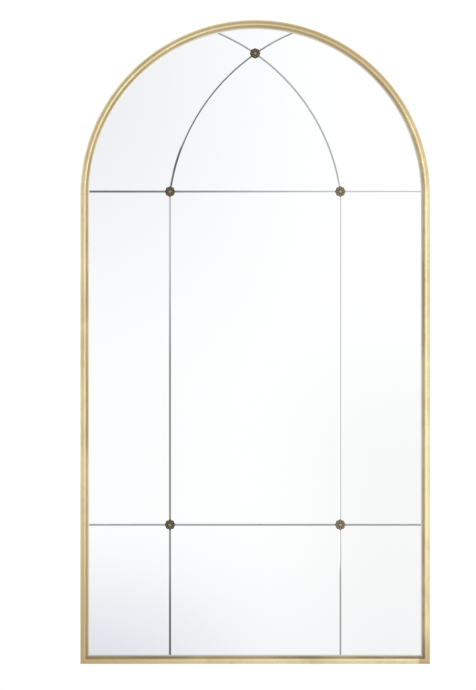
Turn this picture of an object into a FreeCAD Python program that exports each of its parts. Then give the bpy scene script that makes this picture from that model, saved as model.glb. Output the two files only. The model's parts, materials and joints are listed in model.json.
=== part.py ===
"""Arched window mirror: a gilt moulding round ten mirror panes that share one backing board.

Millimetres. +Z is up, the front faces -Y and the wall is the plane y = 0. The origin is on the wall, on the
mirror's centreline, level with the hooks that carry it.
"""
import FreeCAD, Part
import math
import os
import Sketcher
from FreeCAD import Rotation, Vector

# The driving dimensions: name in the sheet, value, meaning
SIZES = (
    ("overall_width", 980, "outer edge to outer edge"),
    ("overall_height", 1805, "bottom edge to the top of the arch"),
    ("hook_rise", 85, "spring line of the arch up to the hooks on the wall"),
    ("frame_face", 25, "moulding: sight edge to outer edge"),
    ("lip_width", 9, "moulding: sight edge to rebate wall"),
    ("lip_edge", 2, "moulding: lip height over the glass at the sight edge"),
    ("lip_slope", 4, "moulding: how far the lip rises towards the bead"),
    ("bead_rise", 5, "moulding: bead crest over the top of the lip"),
    ("bead_bevel", 2, "moulding: bevel from the quirk to the crest"),
    ("crest_across", 12.5, "moulding: sight edge to bead crest"),
    ("shoulder_drop", 6, "moulding: bead crest down to the outer edge"),
    ("bumper_height", 3, "wall to the back of the frame"),
    ("bumper_width", 12, "wall bumper"),
    ("bumper_level", 120, "lower bumpers over the bottom edge"),
    ("recess_depth", 9, "back of the frame to the back of the board"),
    ("board_thickness", 9, "backing board"),
    ("tape_thickness", 1, "double-sided tape between board and glass"),
    ("tape_width", 25, "double-sided tape"),
    ("tape_inset", 30, "pane edge to tape"),
    ("tape_pitch", 100, "tape rows in the arch head"),
    ("glass_thickness", 4, "mirror panes"),
    ("glass_clearance", 1, "pane and board edge to rebate wall"),
    ("seam_gap", 1, "pane edge to pane edge"),
    ("pane_bevel", 2.5, "polished bevel round the front of each pane, across its face"),
    ("pane_bevel_depth", 1, "polished bevel round the front of each pane, down its edge"),
    ("lower_seam_level", 390, "lower seam over the bottom edge"),
    ("seam_over_spring", 9.5, "upper seam over the spring line of the arch"),
    ("crown_drop", 68, "sight edge at the top down to the crossing of the tracery"),
    ("tracery_offset", 324, "centreline out to the centre of a tracery arc"),
    ("tracery_drop", 70, "spring line down to the centre of a tracery arc"),
    ("block_height", 2, "setting blocks under the lowest panes"),
    ("block_length", 40, "setting blocks"),
    ("petal_count", 8, "rosette"),
    ("petal_tip", 14.6, "rosette: radius at the petal tips"),
    ("petal_valley", 12.8, "rosette: radius between the petals"),
    ("petal_height", 3.2, "rosette: height of the petals"),
    ("petal_crest", 8.5, "rosette: radius at which the petals start to slope"),
    ("petal_edge", 1, "rosette: height of the petals at their tips"),
    ("groove_width", 1.6, "rosette: groove between two petals"),
    ("button_radius", 5, "rosette: raised centre"),
    ("button_rise", 3, "rosette: height of the centre over the petals"),
    ("peg_width", 5, "rosette: square peg between the pane corners"),
    ("corner_crop", 7.5, "pane corners cropped round a peg"),
    ("point_length", 22, "glazing point"),
    ("point_grip", 9, "glazing point: length driven into the rebate wall"),
    ("point_width", 9, "glazing point"),
    ("point_thickness", 0.8, "glazing point"),
    ("point_margin", 150, "outermost points from the ends of a stile"),
    ("screw_radius", 2, "hanger screw shank"),
    ("screw_length", 9, "hanger screw under its head"),
    ("screw_head_radius", 4, "hanger screw head"),
    ("screw_head_height", 2.2, "hanger screw head"),
    ("screw_clearance", 0.12, "screw shank in its hole"),
    ("pilot_spare", 0.6, "pilot hole past the screw's end"),
    ("hanger_inset", 140, "outer edge to a hanger"),
    ("strap_width", 14, "hanger strap"),
    ("strap_length", 66, "hanger strap below the ring's pivot"),
    ("strap_sheet", 1.2, "hanger strap, before it is folded double"),
    ("strap_corner", 4, "hanger strap: bevel of its lower corners"),
    ("strap_first_hole", 38, "hanger strap: pivot to the upper screw"),
    ("strap_hole_pitch", 18, "hanger strap: screw to screw"),
    ("wire_radius", 2, "ring wire"),
    ("ring_play", 0.08, "ring wire in the strap's barrel"),
    ("ring_width", 36, "three-sided ring: its leg in the strap's barrel"),
    ("ring_drop", 26, "three-sided ring: barrel to where its sides would meet"),
    ("ring_bend", 4.5, "three-sided ring: length cut off each leg by a corner's bend"),
    ("ring_gap", 0.4, "hanging ring to the strap behind it"),
)

ALONG_AXIS = Vector(1, 0, 0)
SKETCH_NORMAL = Vector(0, 0, 1)
ACROSS_AXIS_INDEX = -1
UPRIGHT_AXIS_INDEX = -2
START_INDEX = 1
END_INDEX = 2
CENTRE_INDEX = 3
STILE_POINT_COUNT = 5
RAIL_POINT_COUNT = 4
ARCH_POINT_COUNT = 7
PANE_BLOCK_COUNT = 2
BUTTON_SHOULDER_RATIO = 0.7
ARCH_BUMPER_ANGLE = 40
HALF_TURN_ANGLE = 180
FULL_TURN_ANGLE = 360
LEFT_SIGN = -1
RIGHT_SIGN = 1
TOLERANCE = 1e-6


class Size:
    """A length together with the sheet formula that it comes from."""

    def __init__(self, value, formula):
        self.value = value
        self.formula = formula

    def __add__(self, other):
        return Size(self.value + number(other), "(%s + %s)" % (self.formula, words(other)))

    def __sub__(self, other):
        return Size(self.value - number(other), "(%s - %s)" % (self.formula, words(other)))

    def __mul__(self, other):
        return Size(self.value * number(other), "(%s * %s)" % (self.formula, words(other)))

    def __truediv__(self, other):
        return Size(self.value / number(other), "(%s / %s)" % (self.formula, words(other)))

    def __rmul__(self, other):
        return self * other

    def __neg__(self):
        return self * -1

    def squared(self):
        return self * self

    def root(self):
        return Size(math.sqrt(self.value), "sqrt(%s)" % self.formula)


def number(size):
    """The plain number of a size or a number."""
    return size.value if isinstance(size, Size) else size


def words(size):
    """The formula of a size or a number."""
    return size.formula if isinstance(size, Size) else "(%r)" % size


def bind(thing, path, size):
    """Ties a property of a document object to a size."""
    thing.setExpression(path, words(size))


doc = FreeCAD.newDocument("arched_mirror")
sheet = doc.addObject("Spreadsheet::Sheet", "Sizes")
for row, (alias, value, meaning) in enumerate(SIZES, start=1):
    sheet.set("A%d" % row, meaning)
    sheet.set("B%d" % row, str(value))
    sheet.setAlias("B%d" % row, alias)
doc.recompute()


def size(alias):
    """One driving dimension from the sheet."""
    return Size(float(sheet.get(alias)), "Sizes." + alias)


# Levels above the hooks, and half widths from the centreline
half_width = size("overall_width") / 2
spring = -size("hook_rise")
crown = spring + half_width
bottom = crown - size("overall_height")
sight_half = half_width - size("frame_face")
rebate_half = sight_half + size("lip_width")
glass_half = rebate_half - size("glass_clearance")
rebate_floor = bottom + size("frame_face") - size("lip_width")
glass_bottom = rebate_floor + size("block_height")
lower_seam = bottom + size("lower_seam_level")
upper_seam = spring + size("seam_over_spring")
half_gap = size("seam_gap") / 2

# Depths from the wall towards the viewer
frame_back = -size("bumper_height")
board_back = frame_back - size("recess_depth")
board_front = board_back - size("board_thickness")
glass_back = board_front - size("tape_thickness")
glass_front = glass_back - size("glass_thickness")

# The tracery: two equal arcs that cross on the centreline
tracery_level = spring - size("tracery_drop")
crossing = crown - size("frame_face") - size("crown_drop")
tracery_rise = crossing - tracery_level
tracery_radius = (size("tracery_offset").squared() + tracery_rise.squared()).root()


def tracery_reach(level, radius=tracery_radius):
    """How far a tracery arc is from its own side of the centreline at a level."""
    return (radius.squared() - (level - tracery_level).squared()).root() - size("tracery_offset")


def arch_reach(level, radius=glass_half):
    """Half the width of the arch at a level above the spring line."""
    return (radius.squared() - (level - spring).squared()).root()


seam_half = tracery_reach(upper_seam)
CROSSINGS = {
    "crown": (0, crossing),
    "upper_left": (-seam_half, upper_seam),
    "upper_right": (seam_half, upper_seam),
    "lower_left": (-seam_half, lower_seam),
    "lower_right": (seam_half, lower_seam),
}


# Sketching
def pin(sketch, geometry, point, across, up):
    """Fixes a sketch point by its distances from the sketch's origin."""
    for kind, axis_line, distance in (
        ("DistanceX", UPRIGHT_AXIS_INDEX, across),
        ("DistanceY", ACROSS_AXIS_INDEX, up),
    ):
        if number(distance) == 0:
            sketch.addConstraint(Sketcher.Constraint("PointOnObject", geometry, point, axis_line))
        else:
            index = sketch.addConstraint(Sketcher.Constraint(kind, geometry, point, number(distance)))
            bind(sketch, "Constraints[%d]" % index, distance)


def fix_radius(sketch, geometry, radius):
    """Gives a circle or an arc its radius."""
    index = sketch.addConstraint(Sketcher.Constraint("Radius", geometry, number(radius)))
    bind(sketch, "Constraints[%d]" % index, radius)


def arc_between(first, last, centre):
    """The shorter arc from one point to another round a centre, and whether it was turned round."""
    begin = math.atan2(first.y - centre.y, first.x - centre.x)
    finish = math.atan2(last.y - centre.y, last.x - centre.x)
    turned = (finish - begin) % (2 * math.pi) > math.pi
    if turned:
        begin, finish = finish, begin
    circle = Part.Circle(centre, SKETCH_NORMAL, (first - centre).Length)
    return Part.ArcOfCircle(circle, begin, finish), turned


def outline(sketch, corners, arcs=None):
    """Draws a closed outline. arcs gives a side's radius and centre by the number of its first corner."""
    arcs = arcs or {}
    spots = [Vector(number(across), number(up), 0) for across, up in corners]
    sides = []
    for place, first in enumerate(spots):
        last = spots[(place + 1) % len(spots)]
        turned = False
        if place in arcs:
            across, up = arcs[place][1]
            shape, turned = arc_between(first, last, Vector(number(across), number(up), 0))
        else:
            shape = Part.LineSegment(first, last)
        geometry = sketch.addGeometry(shape, False)
        sides.append((geometry, END_INDEX, START_INDEX) if turned else (geometry, START_INDEX, END_INDEX))
    for place, (geometry, start, end) in enumerate(sides):
        following, following_start, _ = sides[(place + 1) % len(sides)]
        sketch.addConstraint(Sketcher.Constraint("Coincident", geometry, end, following, following_start))
    for (geometry, start, _), (across, up) in zip(sides, corners):
        pin(sketch, geometry, start, across, up)
    for place, (radius, _) in arcs.items():
        fix_radius(sketch, sides[place][0], radius)


def circle(sketch, across, up, radius):
    """Draws a circle."""
    centre = Vector(number(across), number(up), 0)
    geometry = sketch.addGeometry(Part.Circle(centre, SKETCH_NORMAL, number(radius)), False)
    pin(sketch, geometry, CENTRE_INDEX, across, up)
    fix_radius(sketch, geometry, radius)


# Bodies and their features
def new_body(name, across=0, depth=0, up=0):
    """A body at its place in the mirror."""
    body = doc.addObject("PartDesign::Body", name)
    body.Label = name
    for path, distance in (("x", across), ("y", depth), ("z", up)):
        bind(body, "Placement.Base." + path, distance)
    return body


def origin_feature(body, role):
    """One of a body's own planes or axes."""
    return [feature for feature in body.Origin.OriginFeatures if feature.Role == role][0]


def new_sketch(body, role, lift=0):
    """A sketch on one of a body's own planes, or lifted off it along its normal."""
    sketch = body.newObject("Sketcher::SketchObject", body.Name + "_sketch")
    sketch.AttachmentSupport = [(origin_feature(body, role), "")]
    sketch.MapMode = "FlatFace"
    bind(sketch, "AttachmentOffset.Base.z", lift)
    return sketch


def pad(body, sketch, length, symmetric=False, reversed_way=False):
    """Extrudes a sketch."""
    feature = body.newObject("PartDesign::Pad", body.Name + "_pad")
    feature.Profile = sketch
    feature.SideType = "Symmetric" if symmetric else "One side"
    feature.Reversed = reversed_way
    bind(feature, "Length", length)
    doc.recompute()
    return feature


def cut_through(body, sketch):
    """Cuts a sketch right through a body, both ways."""
    before = body.Shape.Volume
    feature = body.newObject("PartDesign::Pocket", body.Name + "_cut")
    feature.Profile = sketch
    feature.SideType = "Symmetric"
    feature.Type = "ThroughAll"
    doc.recompute()
    require_less(body, before)
    return feature


def cut_along(body, sketch, depth):
    """Cuts a sketch into the material along the normal of its plane."""
    before = body.Shape.Volume
    feature = body.newObject("PartDesign::Pocket", body.Name + "_pocket")
    feature.Profile = sketch
    feature.Reversed = True
    bind(feature, "Length", depth)
    doc.recompute()
    require_less(body, before)
    return feature


def require_less(body, volume):
    """Stops the build if a cut took nothing away."""
    if body.Shape.Volume >= volume - TOLERANCE:
        raise RuntimeError("a cut in %s took nothing away" % body.Label)


def revolve(body, sketch, angle, reversed_way=False):
    """Turns a sketch about its own upright axis."""
    feature = body.newObject("PartDesign::Revolution", body.Name + "_turned")
    feature.Profile = sketch
    feature.ReferenceAxis = (sketch, ["V_Axis"])
    feature.Angle = angle
    feature.Reversed = reversed_way
    doc.recompute()


def chamfer(body, amount, names, depth=None):
    """Bevels some edges, or all edges of some faces, of a body's last feature. depth is the second leg."""
    base = body.Tip
    feature = body.newObject("PartDesign::Chamfer", body.Name + "_bevel")
    feature.Base = (base, names)
    bind(feature, "Size", amount)
    if depth is not None:
        feature.ChamferType = "Two distances"
        feature.FlipDirection = True
        bind(feature, "Size2", depth)
    doc.recompute()


def front_face(shape):
    """The name of the flat face that lies furthest forward."""
    places = [face.CenterOfMass.y for face in shape.Faces]
    return "Face%d" % (places.index(min(places)) + 1)


# The glazing points: where each meets the rebate wall, and the direction inwards
def stile_places(side):
    """The points along one stile."""
    margin = size("point_margin")
    run = spring - bottom - margin * 2
    return [
        (side * rebate_half, bottom + margin + run * (step / (STILE_POINT_COUNT - 1)), (-side, 0))
        for step in range(STILE_POINT_COUNT)
    ]


RAIL_PLACES = [
    (rebate_half * (2 * (step + 0.5) / RAIL_POINT_COUNT - 1), rebate_floor, (0, 1))
    for step in range(RAIL_POINT_COUNT)
]


def arch_places():
    """The points round the arch."""
    places = []
    for step in range(ARCH_POINT_COUNT):
        angle = math.pi * (step + 0.5) / ARCH_POINT_COUNT
        out_across, out_up = math.cos(angle), math.sin(angle)
        places.append((rebate_half * out_across, spring + rebate_half * out_up, (-out_across, -out_up)))
    return places


ARCH_PLACES = arch_places()


def draw_points(sketch, places, base_level):
    """Draws points as seen from behind, in a sketch whose origin is at a level."""
    grip, reach = size("point_grip"), size("point_length") - size("point_grip")
    half = size("point_width") / 2
    for across, up, (in_across, in_up) in places:
        corners = []
        for along, aside in ((-grip, -half), (reach, -half), (reach, half), (-grip, half)):
            corner_across = across + along * in_across - aside * in_up
            corner_up = up - base_level + along * in_up + aside * in_across
            corners.append((corner_across, corner_up))
        outline(sketch, corners)


def cut_point_slots(body, places, base_level):
    """Cuts the slots that the points make in a length of moulding."""
    slots = new_sketch(body, "XZ_Plane", -(board_back + size("point_thickness")))
    draw_points(slots, places, base_level)
    cut_along(body, slots, size("point_thickness"))


def make_points():
    """Flat steel points that hold the board in the rebate."""
    body = new_body("glazing_points", depth=board_back + size("point_thickness"))
    sketch = new_sketch(body, "XZ_Plane")
    draw_points(sketch, stile_places(LEFT_SIGN) + stile_places(RIGHT_SIGN) + RAIL_PLACES + ARCH_PLACES, 0)
    pad(body, sketch, size("point_thickness"))
    return body


# The moulding, in section: u runs outwards from the sight edge, v forwards from the glass
def draw_moulding(sketch, place):
    """Draws the section. place(u, v) says where a point of the section is in the sketch."""
    lip, face, across = size("lip_width"), size("frame_face"), size("crest_across")
    lip_top = size("lip_edge") + size("lip_slope")
    crest = lip_top + size("bead_rise")
    drop, bevel = size("shoulder_drop"), size("bead_bevel")
    over = face - across
    sweep = (over.squared() + drop.squared()) / (2 * drop)
    back = glass_front - frame_back
    corners = [
        place(0, 0),
        place(0, size("lip_edge")),
        place(lip, lip_top),
        place(across - bevel, crest - bevel / 2),
        place(across, crest),
        place(face, crest - drop),
        place(face, back),
        place(lip, back),
        place(lip, 0),
    ]
    outline(sketch, corners, {4: (sweep, place(across, crest - sweep))})


def make_stile(name, side):
    """One upright of the frame, mitred at its foot."""
    body = new_body(name, up=bottom)
    sketch = new_sketch(body, "XY_Plane")
    draw_moulding(sketch, lambda u, v: (side * (sight_half + u), glass_front - v))
    pad(body, sketch, spring - bottom)
    mitre = new_sketch(body, "XZ_Plane")
    face = size("frame_face")
    outline(mitre, [(side * half_width, 0), (side * sight_half, 0), (side * sight_half, face)])
    cut_through(body, mitre)
    cut_point_slots(body, stile_places(side), bottom)
    return body


def make_rail():
    """The bottom of the frame, mitred at both ends."""
    body = new_body("frame_bottom_rail", up=bottom)
    sketch = new_sketch(body, "YZ_Plane")
    draw_moulding(sketch, lambda u, v: (glass_front - v, size("frame_face") - u))
    pad(body, sketch, size("overall_width"), symmetric=True)
    mitre = new_sketch(body, "XZ_Plane")
    face = size("frame_face")
    for side in (LEFT_SIGN, RIGHT_SIGN):
        outline(mitre, [(side * half_width, 0), (side * half_width, face), (side * sight_half, face)])
    cut_through(body, mitre)
    cut_point_slots(body, RAIL_PLACES, bottom)
    return body


def make_arch():
    """The bent top of the frame, a half turn of the same section."""
    body = new_body("frame_arch", up=spring)
    sketch = new_sketch(body, "XY_Plane")
    draw_moulding(sketch, lambda u, v: (sight_half + u, glass_front - v))
    revolve(body, sketch, HALF_TURN_ANGLE, reversed_way=True)
    cut_point_slots(body, ARCH_PLACES, spring)
    return body


# The panes
def make_pane(name, corners, arcs, rosettes):
    """One mirror pane with a bevelled front, and its corners cropped round the rosettes' pegs."""
    body = new_body(name, depth=glass_back)
    sketch = new_sketch(body, "XZ_Plane")
    outline(sketch, corners, arcs)
    plate = pad(body, sketch, size("glass_thickness"))
    chamfer(body, size("pane_bevel"), [front_face(plate.Shape)], size("pane_bevel_depth"))
    crops = new_sketch(body, "XZ_Plane")
    crop = size("corner_crop")
    for rosette in rosettes:
        across, up = CROSSINGS[rosette]
        left, right = -crop + across, crop + across
        outline(crops, [(left, up), (across, up - crop), (right, up), (across, up + crop)])
    cut_through(body, crops)
    return body


def box_corners(left, right, low, high):
    """The corners of an upright rectangle."""
    return [(left, low), (right, low), (right, high), (left, high)]


def make_lower_panes():
    """The three panes that stand in the bottom of the frame."""
    top = lower_seam - half_gap
    low = glass_bottom
    inner, outer = seam_half - half_gap, seam_half + half_gap
    both = ["lower_left", "lower_right"]
    return [
        make_pane("pane_lower_left", box_corners(-glass_half, -outer, low, top), {}, both[:1]),
        make_pane("pane_lower_centre", box_corners(-inner, inner, low, top), {}, both),
        make_pane("pane_lower_right", box_corners(outer, glass_half, low, top), {}, both[1:]),
    ]


def make_middle_panes():
    """The three tall panes. The outer two follow the first of the arch's curve up to the upper seam."""
    low, top = lower_seam + half_gap, upper_seam - half_gap
    inner, outer = seam_half - half_gap, seam_half + half_gap
    all_corners = ["upper_left", "upper_right", "lower_left", "lower_right"]
    panes = [make_pane("pane_middle_centre", box_corners(-inner, inner, low, top), {}, all_corners)]
    for name, side in (("left", LEFT_SIGN), ("right", RIGHT_SIGN)):
        corners = [
            (side * outer, top),
            (side * outer, low),
            (side * glass_half, low),
            (side * glass_half, spring),
            (side * arch_reach(top), top),
        ]
        arcs = {3: (glass_half, (0, spring))}
        panes.append(make_pane("pane_middle_" + name, corners, arcs, ["upper_" + name, "lower_" + name]))
    return panes


def tracery_end(radius):
    """How far out, and at what level, a tracery arc runs under the top of the frame."""
    offset, drop = size("tracery_offset"), size("tracery_drop")
    between = (offset.squared() + drop.squared()).root()
    along = (glass_half.squared() - radius.squared() + between.squared()) / (2 * between)
    aside = (glass_half.squared() - along.squared()).root()
    return (along * offset + aside * drop) / between, spring + (aside * offset - along * drop) / between


def make_arch_panes():
    """The pointed centre pane, the crown pane over the crossing, and a spandrel on each side."""
    inner, outer = tracery_radius - half_gap, tracery_radius + half_gap
    low = upper_seam + half_gap
    offset = size("tracery_offset")
    arch_centre = (0, spring)
    left_arc, right_arc = (offset, tracery_level), (-offset, tracery_level)

    reach = tracery_reach(low, inner)
    point = tracery_level + (inner.squared() - offset.squared()).root()
    centre = make_pane(
        "pane_arch_centre",
        [(-reach, low), (reach, low), (0, point)],
        {1: (inner, right_arc), 2: (inner, left_arc)},
        ["upper_left", "upper_right", "crown"],
    )

    foot = tracery_level + (outer.squared() - offset.squared()).root()
    end_across, end_level = tracery_end(outer)
    crown_pane = make_pane(
        "pane_arch_crown",
        [(0, foot), (end_across, end_level), (-end_across, end_level)],
        {0: (outer, left_arc), 1: (glass_half, arch_centre), 2: (outer, right_arc)},
        ["crown"],
    )

    panes = [centre, crown_pane]
    tip_across = (outer.squared() - inner.squared()) / (4 * offset)
    tip_level = tracery_level + (inner.squared() - (offset - tip_across).squared()).root()
    end_across, end_level = tracery_end(inner)
    for name, side, own_arc, other_arc in (
        ("left", LEFT_SIGN, left_arc, right_arc),
        ("right", RIGHT_SIGN, right_arc, left_arc),
    ):
        corners = [
            (side * tracery_reach(low, outer), low),
            (side * tip_across, tip_level),
            (side * end_across, end_level),
            (side * arch_reach(low), low),
        ]
        arcs = {0: (outer, own_arc), 1: (inner, other_arc), 2: (glass_half, arch_centre)}
        panes.append(make_pane("pane_arch_" + name, corners, arcs, ["upper_" + name, "crown"]))
    return panes


# The rosettes
def petal_outline(sketch):
    """A round scallop for each petal, with the valleys between them on a circle."""
    count = int(number(size("petal_count")))
    valley, tip = size("petal_valley"), size("petal_tip")
    half_turn = math.pi / count
    rise = tip - valley * math.cos(half_turn)
    half_chord = valley * math.sin(half_turn)
    scallop = (half_chord.squared() + rise.squared()) / (2 * rise)
    corners = []
    arcs = {}
    for petal in range(count):
        middle = 2 * half_turn * petal
        start = middle - half_turn
        corners.append((valley * math.cos(start), valley * math.sin(start)))
        centre = ((tip - scallop) * math.cos(middle), (tip - scallop) * math.sin(middle))
        arcs[petal] = (scallop, centre)
    outline(sketch, corners, arcs)


def repeat_cut(body, cut):
    """Repeats a cut once for each petal round the rosette's axis."""
    ring = body.newObject("PartDesign::PolarPattern", body.Name + "_ring")
    ring.Originals = [cut]
    ring.Axis = (origin_feature(body, "Y_Axis"), [""])
    ring.Angle = FULL_TURN_ANGLE
    bind(ring, "Occurrences", size("petal_count"))
    body.Tip = ring
    doc.recompute()


def make_rosette(name, across, up):
    """A cast flower with a raised button, and a peg behind that stands on the board between the panes."""
    body = new_body("rosette_" + name, across, glass_front, up)
    height, tip = size("petal_height"), size("petal_tip")
    petals = new_sketch(body, "XZ_Plane")
    petal_outline(petals)
    pad(body, petals, height)

    slope = new_sketch(body, "XY_Plane")
    outline(slope, [(size("petal_crest"), -height), (tip, -height), (tip, -size("petal_edge"))])
    repeat_cut(body, cut_through(body, slope))

    groove = new_sketch(body, "YZ_Plane")
    groove.AttachmentOffset.Rotation = Rotation(ALONG_AXIS, HALF_TURN_ANGLE / number(size("petal_count")))
    half_groove = size("groove_width") / 2
    outline(groove, [(-height, -half_groove), (-height, half_groove), (-(height - half_groove), 0)])
    repeat_cut(body, cut_along(body, groove, tip))

    button, rise = size("button_radius"), size("button_rise")
    middle = new_sketch(body, "XY_Plane")
    outline(
        middle,
        [
            (0, -(height / 2)),
            (button, -(height / 2)),
            (button, -height),
            (button * BUTTON_SHOULDER_RATIO, -(height + rise * BUTTON_SHOULDER_RATIO)),
            (0, -(height + rise)),
        ],
    )
    revolve(body, middle, FULL_TURN_ANGLE)

    half_peg = size("peg_width") / 2
    peg = new_sketch(body, "XZ_Plane")
    outline(peg, box_corners(-half_peg, half_peg, -half_peg, half_peg))
    pad(body, peg, size("glass_thickness") + size("tape_thickness"), reversed_way=True)
    return body


def join(name, members):
    """Solids that share one node."""
    group = doc.addObject("Part::Compound", name)
    group.Label = name
    group.Links = members
    doc.recompute()
    return group


def make_rosettes():
    """One rosette over every place where the seams cross."""
    return join("rosettes", [make_rosette(name, across, up) for name, (across, up) in CROSSINGS.items()])


# Tape and setting blocks
def make_blocks(name, boxes):
    """Plain blocks that share one node. Each box gives its low and high corner."""
    blocks = []
    for low, high in boxes:
        block = doc.addObject("Part::Box", name + "_piece")
        for path, low_end, high_end in zip(("Length", "Width", "Height"), low, high):
            bind(block, path, -low_end + high_end)
        for path, low_end in zip("xyz", low):
            bind(block, "Placement.Base." + path, low_end)
        blocks.append(block)
    return join(name, blocks)


def make_tape():
    """Upright strips behind the square panes, and level strips behind the panes of the arch head."""
    inset, width = size("tape_inset"), size("tape_width")
    strips = []
    for low, high in ((glass_bottom, lower_seam), (lower_seam, upper_seam)):
        for left, right in ((-glass_half, -seam_half), (-seam_half, seam_half), (seam_half, glass_half)):
            for start in (left + inset, right - inset - width):
                strips.append((start, start + width, low + inset, high - inset))
    head_room = number(crossing - upper_seam - inset)
    for step in range(int(head_room / number(size("tape_pitch")))):
        low = upper_seam + inset + size("tape_pitch") * step
        high = low + width
        reach = tracery_reach(high) - inset
        strips.append((-reach, reach, low, high))
        near, far = tracery_reach(low) + inset, arch_reach(high) - inset
        for left, right in ((-far, -near), (near, far)):
            strips.append((left, right, low, high))
    crown_level = (crossing + spring + glass_half) / 2
    crown_reach = -tracery_reach(crown_level) / 2
    strips.append((-crown_reach, crown_reach, crown_level, crown_level + width / 2))
    boxes = [
        ((left, glass_back, low), (right, board_front, high)) for left, right, low, high in strips
    ]
    return make_blocks("mirror_tape", boxes)


def make_setting_blocks():
    """Blocks in the bottom of the rebate, at the quarter points of each lower pane."""
    half_block = size("block_length") / 2
    boxes = []
    for left, right in ((-glass_half, -seam_half), (-seam_half, seam_half), (seam_half, glass_half)):
        for block in range(PANE_BLOCK_COUNT):
            middle = left + (right - left) * ((block + 0.5) / PANE_BLOCK_COUNT)
            low = (middle - half_block, glass_front, rebate_floor)
            boxes.append((low, (middle + half_block, board_back, glass_bottom)))
    return make_blocks("setting_blocks", boxes)


# The hangers
hanger_place = half_width - size("hanger_inset")
strap_thickness = size("strap_sheet") * 2
bore_radius = size("wire_radius") + size("ring_play")
barrel_radius = bore_radius + size("strap_sheet")
ring_half, ring_drop = size("ring_width") / 2, size("ring_drop")
ring_side = (ring_half.squared() + ring_drop.squared()).root()
bend_across = size("ring_bend") * ring_half / ring_side
bend_down = size("ring_bend") * ring_drop / ring_side
pivot_level = bend_down + size("wire_radius") - ring_drop
STRAP_HOLES = (size("strap_first_hole"), size("strap_first_hole") + size("strap_hole_pitch"))
SCREW_PLACES = [
    (side * hanger_place, pivot_level - drop) for side in (LEFT_SIGN, RIGHT_SIGN) for drop in STRAP_HOLES
]


def make_strap(name, side):
    """A strip folded double round the ring's straight leg, with two screw holes."""
    body = new_body("hanger_strap_" + name, side * hanger_place, board_back, pivot_level)
    length = size("strap_length")
    sketch = new_sketch(body, "YZ_Plane")
    neck = (barrel_radius.squared() - (barrel_radius - strap_thickness).squared()).root()
    middle = (barrel_radius, 0)
    outline(
        sketch,
        [
            (0, -length),
            (0, 0),
            (barrel_radius, barrel_radius),
            (2 * barrel_radius, 0),
            (barrel_radius, -barrel_radius),
            (strap_thickness, -neck),
            (strap_thickness, -length),
        ],
        {corner: (barrel_radius, middle) for corner in (1, 2, 3, 4)},
    )
    circle(sketch, barrel_radius, 0, bore_radius)
    strap = pad(body, sketch, size("strap_width"), symmetric=True)
    chamfer(body, size("strap_corner"), lower_corners(strap.Shape))
    holes = new_sketch(body, "XZ_Plane")
    for drop in STRAP_HOLES:
        circle(holes, 0, -drop, size("screw_radius") + size("screw_clearance"))
    cut_through(body, holes)
    return body


def lower_corners(shape):
    """The names of the short edges through the sheet at a strap's lower end."""
    low = shape.BoundBox.ZMin
    return [
        "Edge%d" % (index + 1)
        for index, edge in enumerate(shape.Edges)
        if edge.BoundBox.ZMax < low + TOLERANCE and edge.BoundBox.XLength < TOLERANCE
    ]


def make_ring(name, side):
    """A three-sided wire ring that hangs down over its strap."""
    name = "hanger_ring_" + name
    body = new_body(name, side * hanger_place, board_back + barrel_radius, pivot_level)
    path = new_sketch(body, "XZ_Plane")
    bends = [
        (ring_half - size("ring_bend"), 0),
        (ring_half - bend_across, -bend_down),
        (bend_across, bend_down - ring_drop),
    ]
    outline(path, [(0, 0)] + bends + [(-across, up) for across, up in reversed(bends)])
    section = new_sketch(body, "YZ_Plane")
    circle(section, 0, 0, size("wire_radius"))
    wire = body.newObject("PartDesign::AdditivePipe", body.Name + "_wire")
    wire.Profile = section
    wire.Spine = path
    wire.Transition = "Right corner"
    doc.recompute()
    lift = strap_thickness + size("ring_gap") + size("wire_radius") - barrel_radius
    over_strap = ring_drop - ring_drop * size("strap_width") / size("ring_width")
    body.Placement.Rotation = Rotation(ALONG_AXIS, math.degrees(math.asin(number(lift / over_strap))))
    bind(body, "Placement.Rotation.Angle", Size(0, "asin(%s)" % words(lift / over_strap)))
    return body


def make_screws():
    """Wood screws whose heads seat on the straps."""
    body = new_body("hanger_screws", depth=board_back + strap_thickness)
    shanks = new_sketch(body, "XZ_Plane")
    heads = new_sketch(body, "XZ_Plane")
    for across, up in SCREW_PLACES:
        circle(shanks, across, up, size("screw_radius"))
        circle(heads, across, up, size("screw_head_radius"))
    pad(body, shanks, size("screw_length"))
    pad(body, heads, size("screw_head_height"), reversed_way=True)
    return body


def make_board():
    """The arched board with blind pilot holes for the hangers' screws."""
    body = new_body("backing_board", depth=board_back)
    sketch = new_sketch(body, "XZ_Plane")
    corners = [
        (-glass_half, glass_bottom),
        (glass_half, glass_bottom),
        (glass_half, spring),
        (0, spring + glass_half),
        (-glass_half, spring),
    ]
    outline(sketch, corners, {2: (glass_half, (0, spring)), 3: (glass_half, (0, spring))})
    pad(body, sketch, size("board_thickness"))
    pilots = new_sketch(body, "XZ_Plane")
    for across, up in SCREW_PLACES:
        circle(pilots, across, up, size("screw_radius") + size("screw_clearance"))
    cut_along(body, pilots, size("screw_length") - strap_thickness + size("pilot_spare"))
    return body


def make_bumpers():
    """Four square rubber pads on the back of the frame that meet the wall."""
    half = size("bumper_width") / 2
    middle = (half_width + rebate_half) / 2
    angle = math.radians(ARCH_BUMPER_ANGLE)
    boxes = []
    for side in (LEFT_SIGN, RIGHT_SIGN):
        for across, up in (
            (side * middle, bottom + size("bumper_level")),
            (side * middle * math.cos(angle), spring + middle * math.sin(angle)),
        ):
            boxes.append(((across - half, frame_back, up - half), (across + half, 0, up + half)))
    return make_blocks("wall_bumpers", boxes)


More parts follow.
